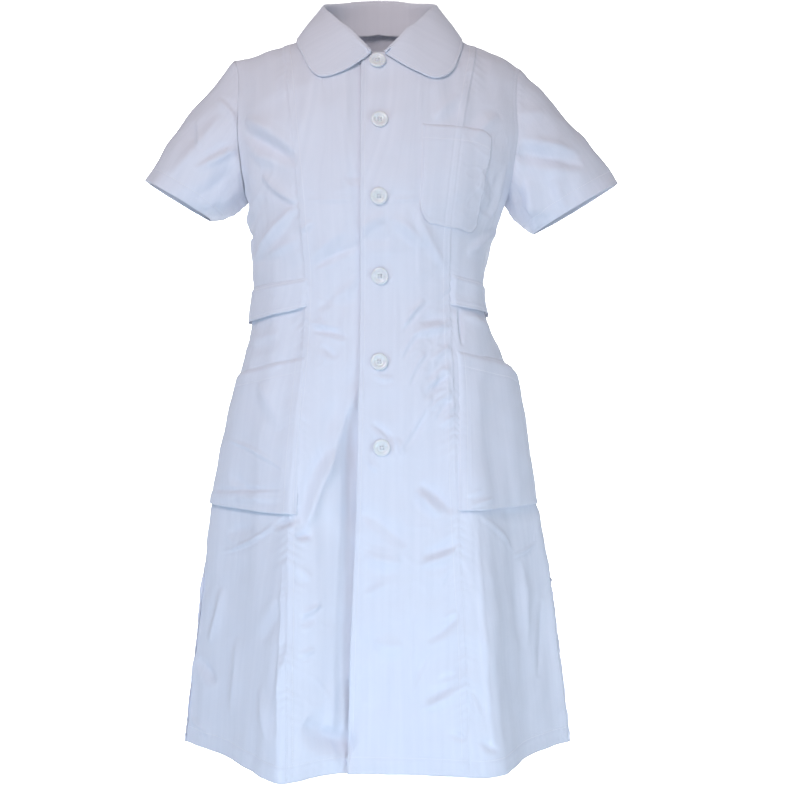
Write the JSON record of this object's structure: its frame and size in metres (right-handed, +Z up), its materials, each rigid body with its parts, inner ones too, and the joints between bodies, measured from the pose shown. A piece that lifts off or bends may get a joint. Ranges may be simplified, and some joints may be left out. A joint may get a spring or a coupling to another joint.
{
  "type": "nurse uniform dress",
  "caption": "White short-sleeved button-front nurse dress with round collar, breast and hip patch pockets and half belt, hollow and keeping its worn shape.",
  "frame": {"origin": "middle of the neck opening, level with the inner ends of the shoulder seams, where the wearer holds the dress up", "axes": "+Z up along the dress, -Y to its front, +X to the wearer's left"},
  "size_m": [0.642, 0.3571, 1.0325],
  "materials": {
    "cloth": "white plain-woven poly-cotton, pressed, with a slight sheen",
    "button": "white, slightly pearly, polished"
  },
  "bodies": {
    "root": {"front_left": "cloth", "front_right": "cloth", "side_front_left": "cloth", "side_front_right": "cloth", "back": "cloth", "sleeve_left": "cloth", "sleeve_right": "cloth", "collar": "cloth", "chest_pocket": "cloth", "hip_pocket_left": "cloth", "hip_pocket_right": "cloth", "belt": "cloth", "button_1": "button", "button_2": "button", "button_3": "button", "button_4": "button", "button_5": "button", "button_6": "button"}
  },
  "joints": []
}
